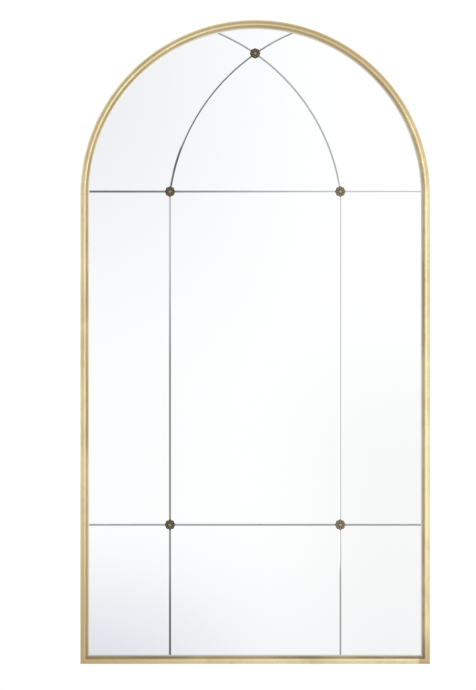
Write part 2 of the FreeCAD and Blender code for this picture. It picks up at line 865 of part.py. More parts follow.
def make_all():
    """Every sub-part of the mirror, front to back."""
    nodes = [make_arch(), make_rail()]
    nodes += [make_stile("frame_left_stile", LEFT_SIGN), make_stile("frame_right_stile", RIGHT_SIGN)]
    nodes += make_lower_panes() + make_middle_panes() + make_arch_panes()
    nodes += [make_rosettes(), make_tape(), make_board(), make_setting_blocks(), make_points()]
    for name, side in (("left", LEFT_SIGN), ("right", RIGHT_SIGN)):
        nodes += [make_strap(name, side), make_ring(name, side)]
    nodes += [make_screws(), make_bumpers()]
    return nodes


def write_all(nodes):
    """Checks the whole document, then writes one file for each sub-part."""
    doc.recompute()
    for thing in doc.Objects:
        if "Invalid" in thing.State or "Error" in thing.State:
            raise RuntimeError("%s failed to build" % thing.Label)
    for node in nodes:
        if node.Shape.isNull() or not node.Shape.isValid():
            raise RuntimeError("%s has no valid shape" % node.Label)
    os.makedirs("parts", exist_ok=True)
    for node in nodes:
        node.Shape.exportStep("parts/%s.step" % node.Label)


write_all(make_all())
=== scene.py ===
"""Dresses the arched mirror: gold leaf, mirror glass, bronze rosettes and zinc hangers, in a white studio.

Metres, in the part's own frame: +Z up, front towards -Y, wall at y = 0.
"""

import json
import math

import bmesh
import bpy
from mathutils import Matrix, Vector


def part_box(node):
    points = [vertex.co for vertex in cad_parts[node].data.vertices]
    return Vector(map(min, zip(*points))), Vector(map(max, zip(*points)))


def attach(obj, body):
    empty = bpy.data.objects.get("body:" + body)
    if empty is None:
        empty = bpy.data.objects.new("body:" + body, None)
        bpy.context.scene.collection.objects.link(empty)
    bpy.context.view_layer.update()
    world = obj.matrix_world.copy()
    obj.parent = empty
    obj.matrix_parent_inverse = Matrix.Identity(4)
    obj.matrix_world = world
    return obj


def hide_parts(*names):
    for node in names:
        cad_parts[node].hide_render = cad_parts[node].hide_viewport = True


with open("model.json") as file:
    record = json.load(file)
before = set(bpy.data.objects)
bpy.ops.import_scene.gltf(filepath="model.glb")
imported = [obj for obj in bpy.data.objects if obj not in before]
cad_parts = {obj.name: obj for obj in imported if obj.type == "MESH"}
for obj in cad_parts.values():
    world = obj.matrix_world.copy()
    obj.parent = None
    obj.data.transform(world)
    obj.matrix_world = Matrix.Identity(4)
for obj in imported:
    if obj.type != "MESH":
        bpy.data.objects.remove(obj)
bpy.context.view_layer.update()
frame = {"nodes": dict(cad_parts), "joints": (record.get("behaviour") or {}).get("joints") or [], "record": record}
nodes = frame["nodes"]

# Places that the frame gives
rail_low, rail_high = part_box("frame_bottom_rail")
arch_low, arch_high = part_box("frame_arch")
rosettes_low, rosettes_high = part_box("rosettes")
BOTTOM = rail_low.z
SPRING = arch_low.z
HALF_WIDTH = arch_high.x
FRAME_FACE = rail_high.z - rail_low.z
SIGHT_HALF = HALF_WIDTH - FRAME_FACE
FRAME_FRONT = rail_low.y
FRAME_BACK = rail_high.y
GLASS_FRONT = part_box("pane_lower_left")[0].y
BOARD_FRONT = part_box("backing_board")[0].y


def halfway(first, last):
    """The middle of the gap between two edges."""
    return (first + last) / 2


SEAM_HALF = halfway(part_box("pane_lower_right")[0].x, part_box("pane_lower_centre")[1].x)
LOWER_SEAM = halfway(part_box("pane_lower_left")[1].z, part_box("pane_middle_left")[0].z)
UPPER_SEAM = halfway(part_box("pane_middle_left")[1].z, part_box("pane_arch_left")[0].z)
PETAL_TIP = rosettes_high.x - SEAM_HALF
CROSSING = rosettes_high.z - PETAL_TIP

# The moulding in section: across it outwards from the sight edge, and forwards from the glass
LIP_WIDTH = 0.009
LIP_EDGE = 0.002
LIP_TOP = 0.006
CREST_ACROSS = 0.0125
CREST_HEIGHT = 0.011
BEAD_BEVEL = 0.002
SHOULDER_DROP = 0.006
SHOULDER_STEPS = 8

# The photograph: its frame, and where the mirror stands in it
PHOTO_WIDTH = 476
PHOTO_HEIGHT = 690
PHOTO_CENTRELINE = 255.16
PHOTO_LEFT = 80.2
PHOTO_BOTTOM = 664.25
METRES_PER_PIXEL = HALF_WIDTH / (PHOTO_CENTRELINE - PHOTO_LEFT)
CAMERA_DISTANCE = 7.0
SENSOR = 36.0

FLOOR_DROP = 0.25
FLOOR_SOLID_RADIUS = 0.55
FLOOR_RADIUS = 1.25
FLOOR_SIDES = 96
FLOOR_TONES = (0.90, 0.94)


# Shader nodes
def add(tree, kind, inputs=None, **settings):
    """A new node. Each input is a plain value or another node's output."""
    node = tree.nodes.new("ShaderNode" + kind)
    for name, value in settings.items():
        setattr(node, name, value)
    for name, value in (inputs or {}).items():
        if isinstance(value, bpy.types.NodeSocket):
            tree.links.new(value, node.inputs[name])
        else:
            node.inputs[name].default_value = value
    return node


def math_node(tree, operation, *values):
    """The result of one sum."""
    return add(tree, "Math", dict(enumerate(values)), operation=operation).outputs[0]


def ramp_between(tree, value, low, high, at_low=0.0, at_high=1.0):
    """A smooth step from one result to another while a value goes from low to high."""
    inputs = {"Value": value, "From Min": low, "From Max": high, "To Min": at_low, "To Max": at_high}
    return add(tree, "MapRange", inputs, interpolation_type="SMOOTHSTEP").outputs[0]


def blend_colours(tree, share, first, last):
    """Two colours, mixed."""
    node = add(tree, "Mix", data_type="RGBA")
    for index, value in ((0, share), (6, first), (7, last)):
        if isinstance(value, bpy.types.NodeSocket):
            tree.links.new(value, node.inputs[index])
        else:
            node.inputs[index].default_value = value
    return node.outputs[2]


def blend_levels(tree, share, first, last):
    """Two numbers, mixed."""
    inputs = {"Factor": share, "A": first, "B": last}
    return add(tree, "Mix", inputs, data_type="FLOAT").outputs[0]


def product(tree, *values):
    """Some values, multiplied."""
    result = values[0]
    for value in values[1:]:
        result = math_node(tree, "MULTIPLY", result, value)
    return result


def noise(tree, place, scale, detail=3.0, roughness=0.55):
    """Cloudy noise about 0.5, with features about 1 / scale metres across."""
    inputs = {"Vector": place, "Scale": scale, "Detail": detail, "Roughness": roughness}
    return add(tree, "TexNoise", inputs).outputs["Fac"]


def stretched(tree, place, stretch):
    """A place with each axis multiplied, for grain and brush marks."""
    return add(tree, "Mapping", {"Vector": place, "Scale": stretch}).outputs["Vector"]


def split(tree, vector):
    """The three parts of a vector."""
    return add(tree, "SeparateXYZ", {"Vector": vector}).outputs


def bump(tree, height, strength, distance):
    """A normal that follows a height."""
    inputs = {"Height": height, "Strength": strength, "Distance": distance}
    return add(tree, "Bump", inputs).outputs["Normal"]


def new_material(name):
    """A material with one Principled shader, and the place and direction of each point of the surface."""
    material = bpy.data.materials.new(name)
    material.use_nodes = True
    tree = material.node_tree
    shader = tree.nodes["Principled BSDF"]
    where = add(tree, "TexCoord")
    return material, tree, shader, where.outputs["Object"], where.outputs["Normal"]


def connect(tree, shader, **sockets):
    """Links or sets the shader's sockets."""
    for name, value in sockets.items():
        socket = shader.inputs[name.replace("_", " ")]
        if isinstance(value, bpy.types.NodeSocket):
            tree.links.new(value, socket)
        else:
            socket.default_value = value


def grey(level):
    """A neutral colour."""
    return (level, level, level, 1)


# Materials
LEAF_YELLOW = (0.86, 0.74, 0.405, 1)
LEAF_TAN = (0.90, 0.73, 0.46, 1)
# Pale leaf for the specks, also used as the painted highlight along the crest.
LEAF_PALE_AND_HIGHLIGHT = (0.97, 0.86, 0.56, 1)
# Brown for worn leaf, also used as painted shade low on the left and high on the arch.
WORN_AND_SHADED_LEAF = (0.50, 0.36, 0.18, 1)
# Colour of the painted highlight along the sight edge.
EDGE_HIGHLIGHT = (0.90, 0.87, 0.78, 1)
# Dark brown for the antique wash and the joints, also used as painted shade in the lip.
WASH_AND_SHADE_BROWN = (0.25, 0.20, 0.125, 1)
BARE_WOOD = (0.50, 0.36, 0.22, 1)
BARE_WOOD_DARK = (0.33, 0.22, 0.12, 1)
JOINT_HALF = 0.0002
# Width over which the painted crest highlight fades.
RUB_AND_HIGHLIGHT_WIDTH = 0.004
RAGGED_WIDTH = 0.0008
# Width of the painted highlight along the sight edge.
EDGE_HIGHLIGHT_WIDTH = LIP_WIDTH * 0.6
# Where the lip's wash and painted shade start and reach full strength.
WASH_SHADE_START = LIP_WIDTH * 0.1
WASH_SHADE_FULL = LIP_WIDTH * 0.65
WASH_DULLNESS = 0.7
RAIL_BLEND = 0.1
DULL_ROUGHNESS = 0.35


def squared(tree, value):
    """A value times itself."""
    return product(tree, value, value)


def frame_measures(tree, place):
    """A point's distance outwards from the sight edge, and its distance from the frame's nearest joint."""
    across, _, up = split(tree, place)
    over_spring = math_node(tree, "SUBTRACT", up, SPRING)
    rise = math_node(tree, "MAXIMUM", over_spring, 0.0)
    radius = math_node(tree, "SQRT", math_node(tree, "ADD", squared(tree, across), squared(tree, rise)))
    beside = math_node(tree, "SUBTRACT", radius, SIGHT_HALF)
    below = math_node(tree, "SUBTRACT", BOTTOM + FRAME_FACE, up)
    from_mitre = math_node(tree, "ABSOLUTE", math_node(tree, "SUBTRACT", beside, below))
    from_joint = math_node(tree, "MINIMUM", from_mitre, math_node(tree, "ABSOLUTE", over_spring))
    return math_node(tree, "MAXIMUM", beside, below), from_joint


FOOT_HEIGHT = 0.16
HAUNCH_START = 0.10
HAUNCH_FULL = 0.30


def brown_wear_and_shade(tree, place):
    """How far the leaf turns brown: worn in flecks and patches, painted shade low left and high on the arch
    towards the right, and darker at the foot of the right stile.
    """
    across, _, up = split(tree, place)
    # The browning low on the left and high on the arch towards the right is painted shade; the leaf also darkens
    # at the foot of the right stile's outer edge.
    low = ramp_between(tree, up, halfway(BOTTOM, SPRING), BOTTOM, 0.0, 0.72)
    foot = ramp_between(tree, up, BOTTOM + FOOT_HEIGHT, BOTTOM, 0.0, 0.8)
    haunch = ramp_between(tree, up, SPRING + HAUNCH_START, SPRING + HAUNCH_FULL, 0.0, 0.62)
    wear_and_shade = ramp_between(tree, noise(tree, place, 110, 6, 0.7), 0.58, 0.72, 0.0, 0.45)
    for other in (
        ramp_between(tree, noise(tree, place, 7, 4, 0.65), 0.42, 0.66, 0.0, 0.40),
        product(tree, low, ramp_between(tree, across, 0.0, -HALF_WIDTH)),
        product(tree, foot, ramp_between(tree, across, SIGHT_HALF * 0.97, SIGHT_HALF)),
        product(tree, haunch, ramp_between(tree, across, -HALF_WIDTH * 0.9, HALF_WIDTH * 0.4)),
    ):
        wear_and_shade = math_node(tree, "MAXIMUM", wear_and_shade, other)
    return wear_and_shade


def leaf_colour(tree, place, specks, wear_and_shade):
    """Greenish to pinkish gold leaf with pale specks, turned brown where worn and where shade is painted."""
    patches = ramp_between(tree, noise(tree, place, 24, 4), 0.36, 0.64)
    leaf = blend_colours(tree, patches, LEAF_YELLOW, LEAF_TAN)
    leaf = blend_colours(tree, ramp_between(tree, specks, 0.45, 0.75, 0.0, 0.35), leaf, LEAF_PALE_AND_HIGHLIGHT)
    return blend_colours(tree, wear_and_shade, leaf, WORN_AND_SHADED_LEAF)


def gilt_material():
    """Worn gold leaf with painted highlights on the crest and along the sight edge, a dull dark lip wash that is
    partly painted shade, and painted shade in places, on a wood moulding that is bare behind.
    """
    material, tree, shader, place, normal = new_material("gold_leaf")
    specks = noise(tree, place, 420, 5)
    wear_and_shade = brown_wear_and_shade(tree, place)
    leaf = leaf_colour(tree, place, specks, wear_and_shade)
    across, _, up = split(tree, place)
    outward, from_joint = frame_measures(tree, place)
    # Painted highlight: a pale band up to the bead's crest, paler towards the right where the light stands, partly
    # rubbed leaf as well; less of it where the leaf browns.
    crest = ramp_between(tree, outward, CREST_ACROSS, CREST_ACROSS + RUB_AND_HIGHLIGHT_WIDTH, 1.0, 0.0)
    lit_from_right = ramp_between(tree, across, -HALF_WIDTH, HALF_WIDTH * 0.5, 0.2, 0.8)
    clear_of_wear_and_shade = ramp_between(tree, wear_and_shade, 0.0, 0.6, 1.0, 0.2)
    rub_and_painted_light = product(tree, crest, lit_from_right, clear_of_wear_and_shade)
    leaf = blend_colours(tree, rub_and_painted_light, leaf, LEAF_PALE_AND_HIGHLIGHT)
    # Painted highlight: a pale band along the lip's sight edge.
    edge = ramp_between(tree, outward, 0.0, EDGE_HIGHLIGHT_WIDTH, 0.85, 0.0)
    leaf = blend_colours(tree, edge, leaf, EDGE_HIGHLIGHT)

    # The dark brown in the lip is part antique wash and part painted shade, darkest towards the quirk between lip
    # and bead.
    ragged = math_node(tree, "MULTIPLY_ADD", specks, RAGGED_WIDTH, outward)
    in_lip = ramp_between(tree, ragged, LIP_WIDTH, LIP_WIDTH + RAGGED_WIDTH, 1.0, 0.0)
    shade_toward_quirk = ramp_between(tree, outward, WASH_SHADE_START, WASH_SHADE_FULL, 0.15, 1.0)
    uneven = ramp_between(tree, noise(tree, place, 3, 3), 0.36, 0.56, 1.0, 0.7)
    on_rail = ramp_between(tree, up, BOTTOM + FRAME_FACE, BOTTOM + RAIL_BLEND, 1.0, 0.8)
    lip_wash_and_shade = product(tree, in_lip, shade_toward_quirk, uneven, on_rail)
    in_joint = ramp_between(tree, from_joint, 0.0, JOINT_HALF, 0.7, 0.0)
    dulled = math_node(tree, "MAXIMUM", lip_wash_and_shade, in_joint)
    leaf = blend_colours(tree, dulled, leaf, WASH_AND_SHADE_BROWN)

    grain = noise(tree, stretched(tree, place, (1, 1, 0.08)), 300, 4)
    wood = blend_colours(tree, grain, BARE_WOOD_DARK, BARE_WOOD)
    behind = ramp_between(tree, split(tree, normal)[1], 0.5, 0.8)
    dull = math_node(tree, "MAXIMUM", behind, product(tree, dulled, WASH_DULLNESS))
    polish = ramp_between(tree, specks, 0.3, 0.7, 0.30, 0.46)
    connect(
        tree, shader,
        Base_Color=blend_colours(tree, behind, leaf, wood),
        Metallic=math_node(tree, "SUBTRACT", 1.0, dull),
        Roughness=math_node(tree, "MULTIPLY_ADD", dull, DULL_ROUGHNESS, polish),
        Normal=bump(tree, noise(tree, place, 700, 4), 0.25, 0.0004),
    )
    return material


SILVER = (0.972, 0.977, 0.979, 1)
BEVEL_SILVER = (0.74, 0.745, 0.745, 1)
BACK_PAINT = (0.30, 0.33, 0.34, 1)


def mirror_material():
    """Silvered glass: a clear front with a polished bevel, ground edges, and grey paint behind."""
    material, tree, shader, place, normal = new_material("mirror_silver")
    facing = split(tree, normal)[1]
    flat = ramp_between(tree, facing, -0.99, -0.96, 1.0, 0.0)
    silvered = ramp_between(tree, facing, -0.8, -0.6, 1.0, 0.0)
    painted = ramp_between(tree, facing, 0.93, 0.97)
    frost = blend_colours(tree, noise(tree, place, 900, 2), grey(0.50), grey(0.65))
    edge = blend_colours(tree, painted, frost, BACK_PAINT)
    haze = ramp_between(tree, noise(tree, place, 9, 4), 0.35, 0.75, 0.008, 0.03)
    rough = ramp_between(tree, facing, -0.99, -0.6, 0.0, 0.6)
    connect(
        tree, shader,
        Base_Color=blend_colours(tree, silvered, edge, blend_colours(tree, flat, BEVEL_SILVER, SILVER)),
        Metallic=silvered,
        Roughness=math_node(tree, "ADD", rough, haze),
    )
    return material


BRONZE_DARK = (0.085, 0.066, 0.043, 1)
# Pale bronze for rubbed high spots, also used as painted light on the flowers to the right.
BRONZE_RUBBED_AND_LIT = (0.40, 0.335, 0.225, 1)
HOLLOW_HEIGHT = 0.0012


def bronze_material():
    """Cast bronze, dark in its hollows and rubbed on its high spots, with painted light making the flowers on the
    right paler.
    """
    material, tree, shader, place, _ = new_material("antique_bronze")
    across, depth, _ = split(tree, place)
    stain = noise(tree, place, 260, 5)
    high = ramp_between(tree, depth, GLASS_FRONT - HOLLOW_HEIGHT, rosettes_low.y)
    rub_and_painted_light = product(tree, high, ramp_between(tree, stain, 0.3, 0.65, 0.5, 1.0))
    # Painted light: the flowers on the right side are paler, as if lit from there.
    rub_and_painted_light = math_node(tree, "ADD", rub_and_painted_light, ramp_between(tree, across, 0.0, SEAM_HALF, 0.0, 0.34))
    connect(
        tree, shader,
        Base_Color=blend_colours(tree, rub_and_painted_light, BRONZE_DARK, BRONZE_RUBBED_AND_LIT),
        Metallic=0.9,
        Roughness=ramp_between(tree, stain, 0.3, 0.7, 0.36, 0.55),
        Normal=bump(tree, noise(tree, place, 1500, 3), 0.3, 0.0003),
    )
    return material


BOARD_DARK = (0.150, 0.090, 0.047, 1)
BOARD_PALE = (0.300, 0.195, 0.110, 1)
BOARD_SCUFF = (0.185, 0.118, 0.068, 1)


def board_material():
    """Brown fibreboard: fine fibres, faint rolling marks and darker scuffs."""
    material, tree, shader, place, _ = new_material("fibreboard")
    fibres = noise(tree, stretched(tree, place, (1, 1, 3)), 500, 6, 0.7)
    clouds = noise(tree, place, 6, 4)
    flecks = noise(tree, stretched(tree, place, (1, 1, 2)), 90, 6, 0.75)
    brown = blend_colours(tree, ramp_between(tree, fibres, 0.3, 0.7), BOARD_DARK, BOARD_PALE)
    brown = blend_colours(tree, ramp_between(tree, flecks, 0.5, 0.75, 0.0, 0.5), brown, BOARD_DARK)
    scuffs = ramp_between(tree, clouds, 0.35, 0.7, 0.0, 0.45)
    connect(
        tree, shader,
        Base_Color=blend_colours(tree, scuffs, brown, BOARD_SCUFF),
        Roughness=ramp_between(tree, fibres, 0.3, 0.7, 0.72, 0.9),
        Normal=bump(tree, fibres, 0.3, 0.0003),
    )
    return material


STEEL_DARK = (0.40, 0.41, 0.42, 1)
STEEL_PALE = (0.60, 0.60, 0.58, 1)


def steel_material():
    """Zinc-plated steel with fine rolling marks and dull patches."""
    material, tree, shader, place, _ = new_material("zinc_plate")
    marks = noise(tree, stretched(tree, place, (1, 1, 0.06)), 2500, 3)
    patches = noise(tree, place, 160, 4)
    connect(
        tree, shader,
        Base_Color=blend_colours(tree, patches, STEEL_DARK, STEEL_PALE),
        Metallic=1.0,
        Roughness=ramp_between(tree, marks, 0.3, 0.7, 0.24, 0.42),
        Normal=bump(tree, marks, 0.1, 0.0002),
    )
    return material


def rubber_material():
    """Matt black rubber with a little dust."""
    material, tree, shader, place, _ = new_material("rubber")
    dust = noise(tree, place, 350, 5)
    connect(
        tree, shader,
        Base_Color=blend_colours(tree, ramp_between(tree, dust, 0.45, 0.8), grey(0.018), grey(0.075)),
        Roughness=ramp_between(tree, dust, 0.3, 0.7, 0.62, 0.82),
        Normal=bump(tree, dust, 0.2, 0.0003),
    )
    return material


def tape_material():
    """White foam tape with fine cells."""
    material, tree, shader, place, _ = new_material("foam_tape")
    cells = noise(tree, place, 1800, 2)
    connect(
        tree, shader,
        Base_Color=blend_colours(tree, cells, grey(0.70), grey(0.86)),
        Roughness=0.85,
        Normal=bump(tree, cells, 0.4, 0.0003),
    )
    return material


MATERIALS = {
    "gilt_wood": gilt_material(),
    "mirror_glass": mirror_material(),
    "dark_bronze": bronze_material(),
    "backing_board": board_material(),
    "zinc_steel": steel_material(),
    "black_rubber": rubber_material(),
    "foam_tape": tape_material(),
}


def dress_nodes():
    """Gives every node of the part the material of its slot."""
    for subpart in frame["record"]["subparts"]:
        node = nodes[subpart["node"]]
        node.data.materials.clear()
        node.data.materials.append(MATERIALS[subpart["material_slot"]])


SOFTENED_ANGLE = math.radians(28)
SOFTENED_STEPS = 2
STRAP_EASE = 0.0003
BUMPER_EASE = 0.001


def soften(names, width):
    """Rounds the sharp edges of some nodes a little, so that they catch the light."""
    for name in names:
        edge = nodes[name].modifiers.new("softened", "BEVEL")
        edge.width = width
        edge.segments = SOFTENED_STEPS
        edge.limit_method = "ANGLE"
        edge.angle_limit = SOFTENED_ANGLE
        edge.harden_normals = True


# Pieces that stand for plainer solids
SHARP_ANGLE = math.radians(42)


def finish_piece(name, mesh, body, slot, replaced):
    """Puts a finished mesh into the scene in place of a node."""
    mesh.materials.append(MATERIALS[slot])
    mesh.shade_smooth()
    mesh.set_sharp_from_angle(angle=SHARP_ANGLE)
    piece = bpy.data.objects.new(name, mesh)
    bpy.context.scene.collection.objects.link(piece)
    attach(piece, body)
    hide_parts(replaced)


def relief(builder, centre, reach, height, rings, spokes):
    """A raised round form: reach(angle) is its outline, height(share, angle) its height over its back."""
    rows = []
    middle = builder.verts.new(centre + Vector((0, -height(0.0, 0.0), 0)))
    for ring in range(1, rings + 1):
        share = ring / rings
        row = []
        for spoke in range(spokes):
            angle = 2 * math.pi * spoke / spokes
            out = reach(angle) * share
            row.append(builder.verts.new(
                centre + Vector((out * math.cos(angle), -height(share, angle), out * math.sin(angle)))))
        rows.append(row)
    rows.append([builder.verts.new(Vector((rim.co.x, centre.y, rim.co.z))) for rim in rows[-1]])
    for spoke in range(spokes):
        following = (spoke + 1) % spokes
        builder.faces.new((middle, rows[0][following], rows[0][spoke]))
        for inner, outer in zip(rows, rows[1:]):
            builder.faces.new((inner[spoke], inner[following], outer[following], outer[spoke]))
    builder.faces.new(rows[-1])


def box_between(builder, low, high):
    """A plain block between two corners."""
    middle = (low + high) / 2
    size = high - low
    matrix = Matrix.Translation(middle) @ Matrix.Diagonal((size.x, size.y, size.z, 1))
    bmesh.ops.create_cube(builder, size=1, matrix=matrix)


def built_mesh(name, builder):
    """A mesh from a builder, its faces turned outwards."""
    bmesh.ops.recalc_face_normals(builder, faces=builder.faces)
    mesh = bpy.data.meshes.new(name)
    builder.to_mesh(mesh)
    builder.free()
    return mesh


PETAL_COUNT = 8
PETAL_VALLEY = 0.0128
PETAL_HEIGHT = 0.0032
PETAL_EDGE = 0.0011
PETAL_CREST = 0.62
PETAL_GROOVE = 0.0013
VEIN_DEPTH = 0.00022
VEIN_WIDTH = 0.12
BUTTON_RADIUS = 0.005
BUTTON_RISE = 0.003
BUTTON_FULLNESS = 0.8
BUTTON_FOOT = PETAL_EDGE * 0.2
FLOWER_RINGS = 26
FLOWER_SPOKES = 16 * PETAL_COUNT
PEG_WIDTH = 0.005
HALF_PETAL = math.pi / PETAL_COUNT
PETAL_RISE = PETAL_TIP - PETAL_VALLEY * math.cos(HALF_PETAL)
HALF_CHORD = PETAL_VALLEY * math.sin(HALF_PETAL)
SCALLOP = (HALF_CHORD ** 2 + PETAL_RISE ** 2) / (2 * PETAL_RISE)


def from_petal(angle):
    """An angle measured from the middle of its petal."""
    return (angle + HALF_PETAL) % (2 * HALF_PETAL) - HALF_PETAL


def petal_reach(angle):
    """The scalloped outline of the flower."""
    offset = from_petal(angle)
    centre = PETAL_TIP - SCALLOP
    return centre * math.cos(offset) + math.sqrt(SCALLOP ** 2 - (centre * math.sin(offset)) ** 2)


def flower_height(share, angle):
    """Cushioned petals with a groove between them and faint veins, round a domed button."""
    out = share * petal_reach(angle)
    aside = abs(from_petal(angle)) / HALF_PETAL
    along = (share - PETAL_CREST) / (1 - PETAL_CREST if share > PETAL_CREST else PETAL_CREST)
    petal = PETAL_EDGE + (PETAL_HEIGHT - PETAL_EDGE) * math.sqrt(max(0.0, 1 - along * along))
    petal -= PETAL_GROOVE * aside ** 4 * min(1.0, petal / PETAL_HEIGHT)
    petal -= VEIN_DEPTH * math.exp(-(aside / VEIN_WIDTH) ** 2)
    if out >= BUTTON_RADIUS:
        return petal
    dome = math.sqrt(1 - (out / BUTTON_RADIUS) ** 2)
    button = (PETAL_HEIGHT + BUTTON_RISE) * dome ** BUTTON_FULLNESS + BUTTON_FOOT
    return max(petal, PETAL_EDGE) * (1 - dome) + button


def add_rosettes():
    """A cast flower over each crossing of the seams, with its peg behind."""
    places = {
        "crown": (0.0, CROSSING),
        "upper_left": (-SEAM_HALF, UPPER_SEAM),
        "upper_right": (SEAM_HALF, UPPER_SEAM),
        "lower_left": (-SEAM_HALF, LOWER_SEAM),
        "lower_right": (SEAM_HALF, LOWER_SEAM),
    }
    half_peg = Vector((PEG_WIDTH / 2, 0, PEG_WIDTH / 2))
    for name, (across, up) in places.items():
        builder = bmesh.new()
        centre = Vector((across, GLASS_FRONT, up))
        relief(builder, centre, petal_reach, flower_height, FLOWER_RINGS, FLOWER_SPOKES)
        box_between(builder, centre - half_peg, Vector((across, BOARD_FRONT, up)) + half_peg)
        mesh = built_mesh("rosette_" + name, builder)
        finish_piece("rosette_" + name, mesh, "mirror", "dark_bronze", "rosettes")


# The moulding, with its edges eased
CORNER_STEPS = 6
ARCH_STEPS = 180
LIP_EASE = 0.0005
QUIRK_EASE = 0.0008
BEAD_EASE = 0.0012
CREST_EASE = 0.003
SHOULDER_EASE = 0.001
BACK_EASE = 0.0008
REBATE_EASE = 0.0004


def rounded(corner, before, after, radius):
    """Points on an arc that rounds a corner."""
    to_before = (before - corner).normalized()
    to_after = (after - corner).normalized()
    half_angle = to_before.angle(to_after) / 2
    centre = corner + (to_before + to_after).normalized() * (radius / math.sin(half_angle))
    tangent = radius / math.tan(half_angle)
    start = (corner + to_before * tangent - centre).normalized()
    finish = (corner + to_after * tangent - centre).normalized()
    return [centre + radius * start.slerp(finish, step / CORNER_STEPS) for step in range(CORNER_STEPS + 1)]


def moulding_section():
    """The moulding in section, each point outwards from the sight edge and back from the glass."""
    back = FRAME_BACK - GLASS_FRONT
    over = FRAME_FACE - CREST_ACROSS
    sweep = (over ** 2 + SHOULDER_DROP ** 2) / (2 * SHOULDER_DROP)
    turn = math.asin(over / sweep)
    corners = [
        (0.0, 0.0, None),
        (0.0, -LIP_EDGE, LIP_EASE),
        (LIP_WIDTH, -LIP_TOP, QUIRK_EASE),
        (CREST_ACROSS - BEAD_BEVEL, BEAD_BEVEL / 2 - CREST_HEIGHT, BEAD_EASE),
        (CREST_ACROSS, -CREST_HEIGHT, CREST_EASE),
    ]
    for step in range(1, SHOULDER_STEPS):
        angle = turn * step / SHOULDER_STEPS
        drop = sweep * (1 - math.cos(angle))
        corners.append((CREST_ACROSS + sweep * math.sin(angle), drop - CREST_HEIGHT, None))
    corners += [
        (FRAME_FACE, SHOULDER_DROP - CREST_HEIGHT, SHOULDER_EASE),
        (FRAME_FACE, back, BACK_EASE),
        (LIP_WIDTH, back, REBATE_EASE),
        (LIP_WIDTH, 0.0, None),
    ]
    spots = [Vector((outward, depth, 0)) for outward, depth, _ in corners]
    section = []
    for place, (_, _, radius) in enumerate(corners):
        if radius is None:
            section.append(spots[place])
        else:
            section += rounded(spots[place], spots[place - 1], spots[(place + 1) % len(spots)], radius)
    return section


def add_length(name, replaced, rows):
    """One length of moulding, from a row of points for each place along it."""
    builder = bmesh.new()
    rows = [[builder.verts.new(point) for point in row] for row in rows]
    for first, last in zip(rows, rows[1:]):
        for place in range(len(first)):
            builder.faces.new((first[place - 1], first[place], last[place], last[place - 1]))
    builder.faces.new(rows[0])
    builder.faces.new(rows[-1])
    finish_piece(name, built_mesh(name, builder), "mirror", "gilt_wood", replaced)


def add_moulding():
    """The arch, the two stiles and the rail, mitred at the lower corners."""
    section = [(point.x, GLASS_FRONT + point.y) for point in moulding_section()]
    rows = []
    for step in range(ARCH_STEPS + 1):
        angle = math.pi * step / ARCH_STEPS
        rows.append([
            ((SIGHT_HALF + out) * math.cos(angle), depth, SPRING + (SIGHT_HALF + out) * math.sin(angle))
            for out, depth in section
        ])
    add_length("moulding_arch", "frame_arch", rows)
    feet = {
        side: [(side * (SIGHT_HALF + out), depth, BOTTOM + FRAME_FACE - out) for out, depth in section]
        for side in (-1, 1)
    }
    for name, side in (("left", -1), ("right", 1)):
        top = [(side * (SIGHT_HALF + out), depth, SPRING) for out, depth in section]
        add_length("moulding_%s_stile" % name, "frame_%s_stile" % name, [feet[side], top])
    add_length("moulding_bottom_rail", "frame_bottom_rail", [feet[-1], feet[1]])


# The hangers' rings and screws
RING_WIDTH = 0.036
RING_DROP = 0.026
RING_BEND = 0.0045
WIRE_RADIUS = 0.002
WIRE_FACETS = 5
RING_TILT = math.radians(5.49)


def ring_path():
    """The ring's line in its own upright plane, from its pivot."""
    corners = [Vector((-RING_WIDTH / 2, 0, 0)), Vector((RING_WIDTH / 2, 0, 0)), Vector((0, 0, -RING_DROP))]
    points = []
    for place, corner in enumerate(corners):
        before, after = corners[place - 1], corners[(place + 1) % len(corners)]
        half_angle = (before - corner).angle(after - corner) / 2
        depth = RING_BEND * math.cos(half_angle)
        points += rounded(corner, before, after, depth / (1 / math.sin(half_angle) - 1))
    return points


def add_rings():
    """Bent wire rings, hanging over their straps."""
    for joint in frame["joints"]:
        body = joint["child"]
        side = body.split("_")[0]
        curve = bpy.data.curves.new("ring_wire", "CURVE")
        curve.dimensions = "3D"
        curve.bevel_depth = WIRE_RADIUS
        curve.bevel_resolution = WIRE_FACETS
        path = ring_path()
        spline = curve.splines.new("POLY")
        spline.points.add(len(path) - 1)
        spline.use_cyclic_u = True
        hang = Matrix.Translation(joint["pos_m"]) @ Matrix.Rotation(RING_TILT, 4, "X")
        for point, place in zip(spline.points, path):
            point.co = (hang @ place).to_4d()
        wire = bpy.data.objects.new("ring_wire", curve)
        bpy.context.scene.collection.objects.link(wire)
        mesh = bpy.data.meshes.new_from_object(wire)
        bpy.data.objects.remove(wire)
        finish_piece("ring_" + side, mesh, body, "zinc_steel", "hanger_ring_" + side)


SCREW_HEAD_HEIGHT = 0.0022
SCREW_RADIUS = 0.002
SCREW_SIDES = 24
HEAD_RIM = 0.45
HEAD_RINGS = 16
HEAD_SPOKES = 64
RECESS_REACH = 0.0024
RECESS_HALF = 0.0005
RECESS_DEPTH = 0.0014


def head_height(head_radius):
    """The height of a domed head with a cross recess."""
    def height(share, angle):
        out = share * head_radius
        dome = SCREW_HEAD_HEIGHT * (HEAD_RIM + (1 - HEAD_RIM) * math.sqrt(max(0.0, 1 - share ** 4)))
        narrow = min(abs(out * math.cos(angle)), abs(out * math.sin(angle)))
        recessed = narrow < RECESS_HALF and out < RECESS_REACH
        return dome - RECESS_DEPTH if recessed else dome
    return height


